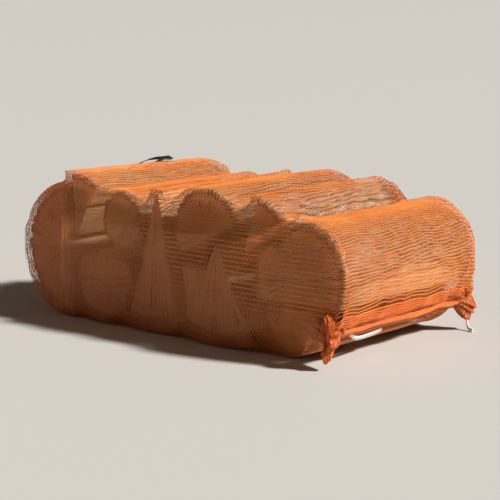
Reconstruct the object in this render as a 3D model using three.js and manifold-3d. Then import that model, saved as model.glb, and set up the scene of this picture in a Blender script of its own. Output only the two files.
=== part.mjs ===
// A net bag of split firewood, lying down as it is stacked: eleven logs side by side in a knitted net
// that is sewn shut at one end and drawn shut with a flat tape at the other.
// X runs along the bag from its mouth to its seam, Y along the logs and Z up. Lengths are in millimetres,
// angles in degrees. The origin is under the middle of the bag, on the surface that it lies on.
import * as THREE from "three";
import { mergeVertices } from "three/addons/utils/BufferGeometryUtils.js";
import Module from "manifold-3d";

const wasm = await Module();
wasm.setup();

// The space that the bag fills before the net is pulled onto the logs
const SEAM_FACE_X = 288;
const MOUTH_FACE_X = -246;
const SIDE_Y = 138;
const TOP_Z = 190;
const BOX_CORNER = 8;
const REST_FROM_X = -160; // the bag lies flat on its surface from here
const REST_TO_X = 200; // to here
const REST_SIDE_Y = 122;

// The core that the net is pulled towards: each point of the net moves straight at its nearest point
const CORE = new THREE.Box3(new THREE.Vector3(-165, -75, 38), new THREE.Vector3(185, 75, 128));

// The net: a closed skin stands for its open stitches
const NET_WALL = 1.6;
const NET_GAP = 2.4;
const AROUND_PULL = 0.72; // the share of the tension that runs along the knitted rows, round the bag
const PULL_PASSES = 400;
const NET_COLUMNS = 50;
const FINE_STEPS = 6; // rays along each side of a cell of the net, for finding the logs under it
const HEEDED_STEPS = 4; // a point of the net heeds the logs that the rays within so many steps find

// The sewn end
const SEAM_X = 249.5;
const SEAM_DEPTH = SEAM_FACE_X - SEAM_X;
const SEAM_Z = 38;
const SEAM_HALF_WIDTH = 124;
const SEAM_SLOT = 2;
const HEM_TIP_X = 262;
const HEM_THICKNESS = 4;
const EAR_TIP_X = 268;
const EAR_SIDE_Y = 139.5;
const THREAD_X = 259.4;
const THREAD_WIDTH = 2.4;
const THREAD_HEIGHT = 1.4;
const THREAD_HALF_LENGTH = 106;

// The drawn end
const NECK_Z = 95;
const NECK_RADIUS = 11;
const NECK_START_X = -249;
const NECK_END_X = -256;
const RUFFLE_TIP_X = -281.3;
const RUFFLE_RADIUS = 27;
const RUFFLE_FOLDS = 7;
const RUFFLE_WAVE = 0.13;
const BAND_WALL = 2.6;
const KNOT_RADIUS = 7;
const TAPE_WIDTH = 8;
const TAPE_THICKNESS = 2;
const TAIL_THICKNESS = 3;

const TOUCH_GAP = 0.4;

// The logs. Each is a trunk of its own radius round centre (X, Z), cut back to its split faces. A split is
// the direction that the face looks in and its distance from the centre. front and length place it along Y,
// lean is how far its two saw cuts are off square, and bow is how far its middle bends across X.
const ROUND_POINTS = 30;
const LOG_STATIONS = 5;
const OUT_OF_ROUND = 0.045;
const LOGS = [
  { name: "log_half_mouth", centre: [-155, 88], radius: 84, splits: [[6, -8]],
    front: -124, length: 250, taper: 0.03, twist: 1.2, lean: [2.5, -1.5], bow: 1.5 },
  { name: "log_quarter_mouth", centre: [-161, 98], radius: 88, splits: [[-32, 0], [182, 0], [-105, -5]],
    front: -117, length: 241, taper: 0.05, twist: -1.0, lean: [-2, 2.5], bow: 0 },
  { name: "log_half_low", centre: [-101, 56], radius: 52, splits: [[90, 30]],
    front: -126, length: 252, taper: 0.04, twist: 1.0, lean: [3, 1], bow: -1 },
  { name: "log_branch", centre: [-78, 128], radius: 39, splits: [],
    front: -115, length: 240, taper: 0.06, twist: 0, lean: [-3, 2], bow: 3 },
  { name: "log_wedge_tall", centre: [-10, 182], radius: 178, splits: [[164, 0], [11, 0], [90, -9]],
    front: -124, length: 249, taper: 0.02, twist: -0.8, lean: [1, 2], bow: 0 },
  { name: "log_half_top", centre: [60, 129], radius: 56, splits: [[-65, 10]],
    front: -115, length: 240, taper: 0.05, twist: 1.4, lean: [-2, -2], bow: 1 },
  { name: "log_wedge_thin", centre: [26.5, 15], radius: 79, splits: [[-28, 0], [191, 0], [-99, -9]],
    front: -111, length: 238, taper: 0.03, twist: 0.5, lean: [2, 2], bow: 0 },
  { name: "log_wedge_front", centre: [92, 126], radius: 122, splits: [[151, 0], [27, 0], [90, -5]],
    front: -132, length: 250, taper: 0.03, twist: 1.0, lean: [-1, 1], bow: 0 },
  { name: "log_wedge_top", centre: [118, 108], radius: 78, splits: [[-60, 0], [162, 0], [231, -7]],
    front: -119, length: 244, taper: 0.04, twist: -1.5, lean: [3, -2], bow: 1 },
  { name: "log_corner_top", centre: [212, 92], radius: 68, splits: [[125, 54], [270, 28]],
    front: -129, length: 256, taper: 0.03, twist: 0.6, lean: [2, 1], bow: -1 },
  { name: "log_corner_low", centre: [196, 54], radius: 50, splits: [[90, 5]],
    front: -117, length: 243, taper: 0.04, twist: -0.6, lean: [-2, -1], bow: -1 },
];

// The routes of what hangs loose, point by point
const TAPE_LOOP_ROUTE = [
  [-252.5, 0, 117.7], [-249, 3, 121.5], [-243.4, 10, 127], [-238.6, 16, 134], [-233.4, 21, 143.2],
  [-225.8, 26, 155], [-216.2, 30, 165.2], [-205.7, 33, 173], [-193.2, 36, 179], [-182, 39, 184],
  [-172, 44, 186.6], [-165, 52, 186.7], [-164, 62, 186.6], [-170, 71, 186.4], [-181, 75, 184],
  [-194.2, 75, 178.8], [-206.2, 72, 173.2], [-217.8, 66, 165.6], [-227.4, 58, 155.4], [-234.7, 49, 143.8],
  [-239.8, 39, 133.5], [-243.6, 28, 124.5], [-247.5, 18, 117.5], [-252, 12.6, 112],
];
const FRONT_TAIL_ROUTE = [
  [258, -92, 33], [257.4, -88, 30.6], [256.6, -84, 28], [255.6, -79, 26], [254.6, -74, 24.6],
  [253.6, -69, 23.8], [252.8, -64, 23.4], [252.2, -59, 23.2], [251.8, -54, 23.2], [251.6, -49, 23.4],
  [251.6, -44, 23.6], [251.7, -39, 24], [251.9, -34, 24.6], [252.2, -29, 25.6], [252.6, -25, 27.2],
];
const BACK_TAIL_ROUTE = [
  [264, 131, 34], [264.4, 132.4, 31], [264.7, 133.6, 28], [264.8, 134.6, 25], [264.8, 135.3, 22],
  [264.7, 135.7, 19], [264.6, 135.8, 16], [264.8, 135.6, 13], [265.3, 135.2, 10.2], [266.2, 134.6, 7.6],
  [267.6, 133.8, 5.4], [269.6, 132.8, 3.8], [272, 131.7, 2.9], [274.7, 130.5, 2.5], [277.5, 129.2, 2.4],
];

const COLOURS = { bark: 0xa9703c, net: 0xd9772b, tape: 0x17181a, thread: 0xf0ebe0 };

const range = (count) => Array.from({ length: count }, (_, i) => i);
const mix = THREE.MathUtils.lerp;
const radians = THREE.MathUtils.degToRad;

const bundle = new THREE.Group();

function add(name, geometry, colour, roughness) {
  const mesh = new THREE.Mesh(geometry, new THREE.MeshStandardMaterial({ color: colour, roughness }));
  mesh.name = name;
  bundle.add(mesh);
  return mesh;
}

function solid(geometry) {
  const bare = geometry.clone().deleteAttribute("normal").deleteAttribute("uv");
  const merged = mergeVertices(bare, 1e-3);
  const triVerts = new Uint32Array(merged.index.array);
  const vertProperties = merged.attributes.position.array;
  return new wasm.Manifold(new wasm.Mesh({ numProp: 3, vertProperties, triVerts }));
}

function geometryOf(manifold) {
  const { vertProperties, triVerts } = manifold.getMesh();
  const geometry = new THREE.BufferGeometry();
  geometry.setAttribute("position", new THREE.BufferAttribute(vertProperties, 3));
  geometry.setIndex(new THREE.BufferAttribute(triVerts, 1));
  return geometry;
}

// A closed skin over rings of equally many points. Its first and last ring are filled in with flat fans.
function skin(rings) {
  const count = rings[0].length;
  const last = (rings.length - 1) * count;
  const index = [];
  for (const row of range(rings.length - 1)) {
    for (const i of range(count)) {
      const here = row * count + i;
      const beside = row * count + ((i + 1) % count);
      index.push(here, here + count, beside, beside, here + count, beside + count);
    }
  }
  for (const i of range(count - 2)) {
    index.push(0, i + 1, i + 2, last, last + i + 2, last + i + 1);
  }
  const geometry = new THREE.BufferGeometry().setFromPoints(rings.flat());
  geometry.setIndex(index);
  return geometry;
}

// A log's end outline: the bark's not quite round line, cut back to each split face. growth moves it all
// outwards.
function logOutline({ radius, splits }, growth) {
  let outline = range(ROUND_POINTS).map((i) => {
    const angle = (i / ROUND_POINTS) * 2 * Math.PI;
    const flat = 0.6 * Math.sin(angle + radius) ** 2 + 0.4 * Math.sin(1.5 * angle + radius) ** 2;
    const reach = radius * (1 - OUT_OF_ROUND * flat) + growth;
    return new THREE.Vector2(reach * Math.cos(angle), reach * Math.sin(angle));
  });
  for (const [direction, distance] of splits) {
    const facing = new THREE.Vector2(Math.cos(radians(direction)), Math.sin(radians(direction)));
    const beyond = (point) => point.dot(facing) - distance - growth;
    outline = outline.flatMap((point, i) => {
      const next = outline[(i + 1) % outline.length];
      const kept = beyond(point) <= 0 ? [point] : [];
      if (beyond(point) * beyond(next) < 0) {
        kept.push(point.clone().lerp(next, beyond(point) / (beyond(point) - beyond(next))));
      }
      return kept;
    });
  }
  return outline;
}

function logGeometry(log, growth = 0) {
  const outline = logOutline(log, growth);
  const [centreX, centreZ] = log.centre;
  const rings = range(LOG_STATIONS).map((station) => {
    const along = station / (LOG_STATIONS - 1);
    const turn = radians(log.twist) * (along - 0.5);
    const slope = Math.tan(radians(mix(log.lean[0], log.lean[1], along)));
    return outline.map((point) => {
      const across = point.clone().multiplyScalar(1 - log.taper * along);
      across.rotateAround(new THREE.Vector2(), turn);
      const y = mix(log.front - growth, log.front + log.length + growth, along);
      return new THREE.Vector3(
        centreX + across.x + log.bow * Math.sin(Math.PI * along),
        y + slope * (0.8 * across.x + 0.6 * across.y),
        centreZ + across.y,
      );
    });
  });
  return skin(rings);
}

// The net before it is pulled in, as loops round the bag from the seam to the ruffle's edge. A loop is a
// rectangle with round corners, at x, of half width and half height round the middle height.
const HALF_HEIGHT = TOP_Z / 2;
const fullLoop = (x) => ({ x, width: SIDE_Y, height: HALF_HEIGHT, middle: HALF_HEIGHT, corner: BOX_CORNER });
const seamLoop = {
  x: SEAM_FACE_X, width: SEAM_HALF_WIDTH, height: SEAM_SLOT, middle: SEAM_Z, corner: SEAM_SLOT * 0.9,
};
const neckLoop = (x, radius) => ({ x, width: radius, height: radius, middle: NECK_Z, corner: radius * 0.98 });

function between(a, b, share, x) {
  const part = (key) => mix(a[key], b[key], share);
  return { x, width: part("width"), height: part("height"), middle: part("middle"), corner: part("corner") };
}

const SEAM_ROWS = 5;
const BODY_ROWS = 30;
const MOUTH_ROWS = 5;
const pulledLoops = [
  seamLoop,
  ...range(SEAM_ROWS - 1).map((k) => (
    between(seamLoop, fullLoop(0), ((k + 1) / SEAM_ROWS) ** 1.2, SEAM_FACE_X)
  )),
  ...range(BODY_ROWS + 1).map((k) => fullLoop(mix(SEAM_FACE_X, MOUTH_FACE_X, k / BODY_ROWS))),
  ...range(MOUTH_ROWS - 1).map((k) => (
    between(fullLoop(0), neckLoop(0, NECK_RADIUS * 1.6), (k + 1) / (MOUTH_ROWS - 1), MOUTH_FACE_X)
  )),
];
const neckLoops = [
  neckLoop(NECK_START_X, NECK_RADIUS),
  neckLoop(NECK_END_X, NECK_RADIUS),
  neckLoop(mix(NECK_END_X, RUFFLE_TIP_X, 0.5), mix(NECK_RADIUS, RUFFLE_RADIUS, 0.62)),
  neckLoop(RUFFLE_TIP_X, RUFFLE_RADIUS),
];

// Evenly spaced points round a loop, counted from the middle of its +Y side
function loopPoints({ x, width, height, middle, corner }, count) {
  const outline = new THREE.Path();
  const straightY = width - corner;
  const straightZ = height - corner;
  outline.moveTo(width, 0);
  outline.lineTo(width, straightZ);
  outline.absarc(straightY, straightZ, corner, 0, Math.PI / 2);
  outline.absarc(-straightY, straightZ, corner, Math.PI / 2, Math.PI);
  outline.absarc(-straightY, -straightZ, corner, Math.PI, 1.5 * Math.PI);
  outline.absarc(straightY, -straightZ, corner, 1.5 * Math.PI, 2 * Math.PI);
  outline.lineTo(width, 0);
  const spaced = outline.getSpacedPoints(count).slice(0, count);
  return spaced.map((point) => new THREE.Vector3(x, point.x, middle + point.y));
}

// How far in from each point of the loops the first grown log lies, on a grid FINE_STEPS times finer
function logDepths() {
  const logs = LOGS.map((log) => {
    const material = new THREE.MeshBasicMaterial({ side: THREE.DoubleSide });
    return new THREE.Mesh(logGeometry(log, NET_GAP), material);
  });
  const fineRows = (pulledLoops.length - 1) * FINE_STEPS + 1;
  return range(fineRows).map((row) => {
    const below = Math.min(Math.floor(row / FINE_STEPS), pulledLoops.length - 2);
    const share = row / FINE_STEPS - below;
    const [a, b] = [pulledLoops[below], pulledLoops[below + 1]];
    const starts = loopPoints(between(a, b, share, mix(a.x, b.x, share)), NET_COLUMNS * FINE_STEPS);
    return starts.map((start) => {
      const way = CORE.clampPoint(start, new THREE.Vector3()).sub(start);
      const ray = new THREE.Raycaster(start, way.clone().normalize(), 0, way.length());
      const hits = ray.intersectObjects(logs);
      return hits.length ? hits[0].distance : way.length();
    });
  });
}

// The net's points where it is taut: each lies on its own straight line from the loops to the core, no deeper
// than any log near it lets it, and otherwise where its four neighbours pull it to
function pulledNet() {
  const depths = logDepths();
  const fineColumns = NET_COLUMNS * FINE_STEPS;
  const rows = pulledLoops.map((loop, row) => loopPoints(loop, NET_COLUMNS).map((start, i) => {
    const inward = CORE.clampPoint(start, new THREE.Vector3()).sub(start).normalize();
    let deepest = Infinity;
    for (let r = -HEEDED_STEPS; r <= HEEDED_STEPS; r++) {
      for (let c = -HEEDED_STEPS; c <= HEEDED_STEPS; c++) {
        const fineColumn = (i * FINE_STEPS + c + fineColumns) % fineColumns;
        deepest = Math.min(deepest, depths[row * FINE_STEPS + r]?.[fineColumn] ?? Infinity);
      }
    }
    const rests = start.z < TOUCH_GAP && start.x > REST_FROM_X && start.x < REST_TO_X
      && Math.abs(start.y) < REST_SIDE_Y;
    const held = rests || row === 0 || row === pulledLoops.length - 1;
    const depth = NET_WALL + (row === 0 ? SEAM_DEPTH : 0);
    return { start, inward, depth, deepest: held ? depth : Math.max(deepest, NET_WALL) };
  }));
  const place = ({ start, inward, depth }) => start.clone().addScaledVector(inward, depth);
  for (let pass = 0; pass < PULL_PASSES; pass++) {
    for (let row = 1; row < rows.length - 1; row++) {
      for (const [i, point] of rows[row].entries()) {
        const around = place(rows[row][(i + 1) % NET_COLUMNS])
          .lerp(place(rows[row][(i + NET_COLUMNS - 1) % NET_COLUMNS]), 0.5);
        const along = place(rows[row + 1][i]).lerp(place(rows[row - 1][i]), 0.5);
        const wanted = along.lerp(around, AROUND_PULL).sub(point.start).dot(point.inward);
        point.depth = THREE.MathUtils.clamp(wanted, NET_WALL, point.deepest);
      }
    }
  }
  return rows;
}

// The gathered neck and the ruffle past it, whose edge waves in and out in folds
function neckPoints(loop, row, wall) {
  const wave = (row / (neckLoops.length - 1)) ** 2 * RUFFLE_WAVE;
  return loopPoints(loop, NET_COLUMNS).map((point, i) => {
    const fold = Math.cos((i / NET_COLUMNS) * 2 * Math.PI * RUFFLE_FOLDS);
    const radius = loop.width * (1 + wave * fold) - wall;
    const scale = radius / Math.hypot(point.y, point.z - NECK_Z);
    return new THREE.Vector3(point.x, point.y * scale, NECK_Z + (point.z - NECK_Z) * scale);
  });
}

// The folded hem along the seam, with an ear at each end
function hem() {
  const ear = [
    [SEAM_X - NET_WALL / 2, 0.84], [SEAM_X + 3, 0.97], [SEAM_X + 10, 1],
    [EAR_TIP_X, 0.97], [EAR_TIP_X, 0.92], [HEM_TIP_X, 0.8],
  ].map(([x, share]) => new THREE.Vector2(x, share * EAR_SIDE_Y));
  const mirrored = ear.map(({ x, y }) => new THREE.Vector2(x, -y));
  const outline = new THREE.Shape([...mirrored, ...ear.reverse()]);
  const geometry = new THREE.ExtrudeGeometry(outline, { depth: HEM_THICKNESS, bevelEnabled: false });
  return geometry.translate(0, 0, SEAM_Z - HEM_THICKNESS / 2);
}

function netBag() {
  const rows = pulledNet();
  const layer = (outward) => [
    ...rows.map((row) => row.map(({ start, inward, depth }) => (
      start.clone().addScaledVector(inward, depth - outward)
    ))),
    ...neckLoops.map((loop, row) => neckPoints(loop, row, NET_WALL - outward)),
  ];
  const bag = solid(skin([...layer(NET_WALL), ...layer(0).reverse()]));
  return geometryOf(bag.add(solid(hem())));
}

// A band of tape wound round the neck, with its knot on top
function drawstringKnot() {
  const inner = NECK_RADIUS + TOUCH_GAP;
  const outer = inner + BAND_WALL;
  const half = TAPE_WIDTH / 2 - 1;
  const profile = [
    [inner, -half], [outer - 0.8, -half], [outer, -half + 0.8],
    [outer, half - 0.8], [outer - 0.8, half], [inner, half], [inner, -half],
  ].map(([radius, along]) => new THREE.Vector2(radius, along));
  const band = new THREE.LatheGeometry(profile, 32);
  band.rotateZ(Math.PI / 2);
  const knot = new THREE.SphereGeometry(KNOT_RADIUS, 16, 10);
  knot.scale(0.6, 1, 0.7);
  knot.translate(0, 0, outer + 2.5);
  const joined = solid(band).add(solid(knot));
  const middle = (NECK_START_X + NECK_END_X) / 2;
  return geometryOf(joined).translate(middle, 0, NECK_Z);
}

// A cord of the given section along a smooth curve through the route's points
function cord(route, width, thickness, steps) {
  const section = new THREE.Shape();
  section.absellipse(0, 0, width / 2, thickness / 2, 0, 2 * Math.PI);
  const outline = new THREE.Shape(section.getPoints(2).slice(0, 8));
  const path = new THREE.CatmullRomCurve3(route.map((point) => new THREE.Vector3(...point)));
  return new THREE.ExtrudeGeometry(outline, { steps, extrudePath: path, bevelEnabled: false });
}

for (const log of LOGS) {
  add(log.name, logGeometry(log), COLOURS.bark, 0.85);
}
add("net_bag", netBag(), COLOURS.net, 0.55);
add("drawstring_knot", drawstringKnot(), COLOURS.tape, 0.35);
add("drawstring_loop", cord(TAPE_LOOP_ROUTE, TAPE_WIDTH, TAPE_THICKNESS, 40), COLOURS.tape, 0.35);

const thread = new THREE.BoxGeometry(THREAD_WIDTH, 2 * THREAD_HALF_LENGTH, THREAD_HEIGHT);
thread.translate(
  THREAD_X,
  0,
  SEAM_Z + (HEM_THICKNESS + THREAD_HEIGHT) / 2 + TOUCH_GAP,
);
add("seam_thread", thread, COLOURS.thread, 0.6);
add("thread_tail_front", cord(FRONT_TAIL_ROUTE, TAIL_THICKNESS, TAIL_THICKNESS, 12), COLOURS.thread, 0.6);
add("thread_tail_back", cord(BACK_TAIL_ROUTE, TAIL_THICKNESS, TAIL_THICKNESS, 10), COLOURS.thread, 0.6);

export default bundle;
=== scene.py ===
import itertools
import math

import bpy
import numpy as np
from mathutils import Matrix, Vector


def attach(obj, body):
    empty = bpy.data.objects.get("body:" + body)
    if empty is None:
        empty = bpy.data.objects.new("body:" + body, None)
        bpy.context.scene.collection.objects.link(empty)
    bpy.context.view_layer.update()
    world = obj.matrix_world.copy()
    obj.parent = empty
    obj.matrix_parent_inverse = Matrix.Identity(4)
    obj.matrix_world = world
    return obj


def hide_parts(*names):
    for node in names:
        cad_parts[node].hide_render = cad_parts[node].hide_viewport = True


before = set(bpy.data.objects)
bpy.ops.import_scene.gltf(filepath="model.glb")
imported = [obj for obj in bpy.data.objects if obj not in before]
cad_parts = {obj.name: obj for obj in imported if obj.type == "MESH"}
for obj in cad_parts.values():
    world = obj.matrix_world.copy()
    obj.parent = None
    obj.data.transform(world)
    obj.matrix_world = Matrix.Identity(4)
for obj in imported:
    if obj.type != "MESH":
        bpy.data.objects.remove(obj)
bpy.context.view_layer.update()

MM = 0.001

# The camera, the lights' aim and the floor
CAMERA_PLACE = (1.351, -1.539, 0.442)
CAMERA_AIM = (0.020, 0.0135, 0.088)
CAMERA_LENS = 119
LIGHT_AIM = (0, 0, 0.08)
FLOOR_HALF = 40.0

# The net before it is pulled in: half width, half height, middle height and corner radius of its loops
FULL_LOOP = np.array([138, 95, 95, 8]) * MM
SEAM_LOOP = np.array([124, 2, 38, 1.8]) * MM
NECK_LOOP = np.array([17.6, 17.6, 95, 17.2]) * MM
SEAM_FACE_X = 288 * MM
MOUTH_FACE_X = -246 * MM
CORE_LOW = np.array([-165, -75, 38]) * MM
CORE_HIGH = np.array([185, 75, 128]) * MM
NET_WALL = 1.6 * MM
NET_GAP = 1.3 * MM
SINK = 0.05 * MM  # how far the slack net drops further in each pass between the logs that hold it out
AROUND_PULL = 0.72  # the share of the tension that runs along the knitted rows, round the bag
REST_X = np.array([-160, 200]) * MM
REST_SIDE_Y = 122 * MM
REST_HEIGHT = 0.4 * MM

# The sewn end
SEAM_X = 249.5 * MM
SEAM_Z = 38 * MM
HEM_TIP_X = 262 * MM
EAR_SIDE_Y = 139 * MM

# The drawn end
NECK_Z = 95 * MM
NECK_X = -252.5 * MM
NECK_RADIUS = 11 * MM
NECK_PROFILE = np.array([[-246, 17.6], [-248.5, 12], [-250.5, 10.6], [-254.5, 10.6], [-257, 13],
                         [-262, 18.5], [-270, 22.5], [-279, 25.5]]) * MM
PLEATS = 40

# Each log's pith, as X and Z, the radius of its trunk, how much that tapers, and its kind of wood
LOGS = {
    "log_half_mouth": (-155, 88, 84, 0.03, "birch"),
    "log_quarter_mouth": (-161, 98, 88, 0.05, "beech"),
    "log_half_low": (-101, 56, 52, 0.04, "alder"),
    "log_branch": (-78, 128, 39, 0.06, "birch"),
    "log_wedge_tall": (-10, 182, 178, 0.02, "beech"),
    "log_half_top": (60, 129, 56, 0.05, "beech"),
    "log_wedge_thin": (26.5, 15, 79, 0.03, "birch"),
    "log_wedge_front": (92, 126, 122, 0.03, "beech"),
    "log_wedge_top": (118, 108, 78, 0.04, "birch"),
    "log_corner_top": (212, 92, 68, 0.03, "birch"),
    "log_corner_low": (196, 54, 50, 0.04, "alder"),
}

# The routes of what hangs loose, point by point
TAPE_LOOP_ROUTE = np.array([
    [-252.5, 0, 117.7], [-249, 3, 121.5], [-243.4, 10, 127], [-238.6, 16, 134], [-233.4, 21, 143.2],
    [-225.8, 26, 155], [-216.2, 30, 165.2], [-205.7, 33, 173], [-193.2, 36, 179], [-182, 39, 184],
    [-172, 44, 186.6], [-165, 52, 186.7], [-164, 62, 186.6], [-170, 71, 186.4], [-181, 75, 184],
    [-194.2, 75, 178.8], [-206.2, 72, 173.2], [-217.8, 66, 165.6], [-227.4, 58, 155.4], [-234.7, 49, 143.8],
    [-239.8, 39, 133.5], [-243.6, 28, 124.5], [-247.5, 18, 117.5], [-252, 12.6, 112],
]) * MM
FRONT_TAIL_ROUTE = np.array([
    [258, -92, 33], [257.4, -88, 30.6], [256.6, -84, 28], [255.6, -79, 26], [254.6, -74, 24.6],
    [253.6, -69, 23.8], [252.8, -64, 23.4], [252.2, -59, 23.2], [251.8, -54, 23.2], [251.6, -49, 23.4],
    [251.6, -44, 23.6], [251.7, -39, 24], [251.9, -34, 24.6], [252.2, -29, 25.6], [252.6, -25, 27.2],
]) * MM
BACK_TAIL_ROUTE = np.array([
    [264, 131, 34], [264.4, 132.4, 31], [264.7, 133.6, 28], [264.8, 134.6, 25], [264.8, 135.3, 22],
    [264.7, 135.7, 19], [264.6, 135.8, 16], [264.8, 135.6, 13], [265.3, 135.2, 10.2], [266.2, 134.6, 7.6],
    [267.6, 133.8, 5.4], [269.6, 132.8, 3.8], [272, 131.7, 2.9], [274.7, 130.5, 2.5], [277.5, 129.2, 2.4],
]) * MM
TAPE_WIDTH = 8 * MM
TAPE_THICKNESS = 0.9 * MM
LOOP_TILT = math.radians(38)  # the loop's turn onto its edge, and where along it that is at its most
LOOP_CROWN = 0.52
LOOP_CROWN_WIDTH = 0.12
TAIL_THICKNESS = 3 * MM
TAIL_PLIES = 4
TAIL_TWIST = 9 * MM


# ---------------------------------------------------------------- arrays and meshes

def unit(vectors):
    """Each vector divided by its own length."""
    return vectors / np.maximum(np.linalg.norm(vectors, axis=-1, keepdims=True), 1e-12)


def smooth_step(values, low, high):
    """0 below low, 1 above high, and 3s^2 - 2s^3 of the share s between them."""
    share = np.clip((values - low) / (high - low), 0, 1)
    return share * share * (3 - 2 * share)


LATTICE = np.random.default_rng(7).random((48, 48, 48))


def soft_noise(points, size, seed=0):
    """Value noise from 0 to 1: the random values at the eight corners of a lattice cell, each weighted by the
    product of its smooth steps along X, Y and Z. size is a cell's size, one number or one for each axis."""
    place = points / np.asarray(size) + 13.7 * seed
    cell = np.floor(place).astype(int)
    share = place - cell
    share = share * share * (3 - 2 * share)
    total = np.zeros(points.shape[:-1])
    for corner in itertools.product((False, True), repeat=3):
        weight = np.prod(np.where(corner, share, 1 - share), axis=-1)
        x, y, z = np.moveaxis((cell + corner) % len(LATTICE), -1, 0)
        total += weight * LATTICE[x, y, z]
    return total


def grid_faces(rows, columns, close_rows=False, close_columns=False):
    """Quads between neighbouring points of a grid that is numbered row by row."""
    row = np.arange(rows if close_rows else rows - 1)
    column = np.arange(columns if close_columns else columns - 1)
    row, column = np.meshgrid(row, column, indexing="ij")
    row_after = (row + 1) % rows
    column_after = (column + 1) % columns
    corners = [row * columns + column, row * columns + column_after,
               row_after * columns + column_after, row_after * columns + column]
    return np.stack(corners, axis=-1).reshape(-1, 4)


def closed_skin(rows, columns):
    """The faces of a skin over a grid whose columns turn clockwise round the way that its rows run: the quads
    between its points, and a flat fan over its first and its last row."""
    sides = grid_faces(rows, columns, close_columns=True)[:, ::-1]
    fan = np.array([[0, i + 1, i + 2] for i in range(columns - 2)])
    last = (rows - 1) * columns + fan[:, ::-1]
    return [sides, np.concatenate([fan, last])]


def add_piece(name, points, face_sets, material, attributes=None):
    """A mesh object of these points and faces, riding on the one body, with its attributes by name."""
    points = points.reshape(-1, 3)
    corners = np.concatenate([faces.ravel() for faces in face_sets])
    sizes = np.concatenate([np.full(len(faces), faces.shape[1]) for faces in face_sets])
    mesh = bpy.data.meshes.new(name)
    mesh.vertices.add(len(points))
    mesh.vertices.foreach_set("co", points.astype(np.float32).ravel())
    mesh.loops.add(len(corners))
    mesh.loops.foreach_set("vertex_index", corners.astype(np.int32))
    mesh.polygons.add(len(sizes))
    mesh.polygons.foreach_set("loop_start", (np.cumsum(sizes) - sizes).astype(np.int32))
    for key, values in (attributes or {}).items():
        kind = "FLOAT" if values.ndim == 1 else "FLOAT_VECTOR"
        layer = mesh.attributes.new(key, kind, "POINT")
        layer.data.foreach_set("value" if kind == "FLOAT" else "vector", values.astype(np.float32).ravel())
    mesh.update(calc_edges=True)
    mesh.shade_smooth()
    mesh.materials.append(material)
    piece = bpy.data.objects.new(name, mesh)
    bpy.context.scene.collection.objects.link(piece)
    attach(piece, "root")
    return piece


def tubes(centres, across, outward, section, closed):
    """Points and faces of tubes along the rows of centres. At each centre the section's points (a, b) stand
    at centre + a across + b outward, counter-clockwise round the way the tube runs. An open tube ends in
    fans."""
    count, steps, _ = centres.shape
    sides = len(section)
    points = (centres[:, :, None] + across[:, :, None] * section[:, 0, None]
              + outward[:, :, None] * section[:, 1, None])
    one = grid_faces(steps, sides, close_rows=closed, close_columns=True)
    first = np.arange(count)[:, None, None] * steps * sides
    face_sets = [(one[None] + first).reshape(-1, 4)]
    if not closed:
        fan = np.array([[0, i + 2, i + 1] for i in range(sides - 2)])
        last = (steps - 1) * sides + fan[:, ::-1]
        face_sets.append((np.concatenate([fan, last])[None] + first).reshape(-1, 3))
    return points, face_sets


def curve_through(route, count):
    """count points on the Catmull-Rom curve through the route's points: each stretch is the cubic that leaves
    and reaches its ends along the line between the points on either side of them."""
    padded = np.concatenate([[2 * route[0] - route[1]], route, [2 * route[-1] - route[-2]]])
    place = np.linspace(0, len(route) - 1, count)
    stretch = np.minimum(place.astype(int), len(route) - 2)
    t = (place - stretch)[:, None]
    a, b, c, d = (padded[stretch + i] for i in range(4))
    return 0.5 * (2 * b + (c - a) * t + (2 * a - 5 * b + 4 * c - d) * t**2
                  + (3 * b - a - 3 * c + d) * t**3)


def lying_frame(path):
    """The directions across and out of the net at each point of a path: out is away from the nearest point of
    the bag's core, square to the path, and across is square to both."""
    along = unit(np.gradient(path, axis=0))
    out = path - np.clip(path, CORE_LOW, CORE_HIGH)
    out = unit(out - along * np.sum(out * along, axis=-1, keepdims=True))
    return np.cross(out, along), out


def round_section(radius, sides):
    """Points evenly round a circle: the radius times the cosine and the sine of even angles."""
    angle = np.arange(sides) * 2 * math.pi / sides
    return radius * np.stack([np.cos(angle), np.sin(angle)], axis=-1)


# ---------------------------------------------------------------- camera and stage

def set_camera():
    """The camera stands where the bag shows its log ends on the left and its sewn end on the right."""
    camera = bpy.data.objects.new("camera", bpy.data.cameras.new("camera"))
    bpy.context.scene.collection.objects.link(camera)
    camera.location = CAMERA_PLACE
    camera.rotation_euler = (Vector(CAMERA_AIM) - camera.location).to_track_quat("-Z", "Y").to_euler()
    camera.data.lens = CAMERA_LENS
    camera.data.sensor_width = 36
    bpy.context.scene.camera = camera


def add_light(name, place, size, power, colour):
    """A round lamp that shines on the bag's middle."""
    lamp = bpy.data.lights.new(name, "AREA")
    lamp.shape = "DISK"
    lamp.size = size
    lamp.energy = power
    lamp.color = colour
    light = bpy.data.objects.new(name, lamp)
    bpy.context.scene.collection.objects.link(light)
    light.location = place
    light.rotation_euler = (Vector(LIGHT_AIM) - light.location).to_track_quat("-Z", "Y").to_euler()


def add_key(place, strength, angle, colour):
    """The key light, so far off that it falls evenly on all of the floor."""
    lamp = bpy.data.lights.new("key_light", "SUN")
    lamp.energy = strength
    lamp.angle = math.radians(angle)
    lamp.color = colour
    light = bpy.data.objects.new("key_light", lamp)
    bpy.context.scene.collection.objects.link(light)
    light.location = place
    light.rotation_euler = (-light.location).to_track_quat("-Z", "Y").to_euler()


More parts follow.
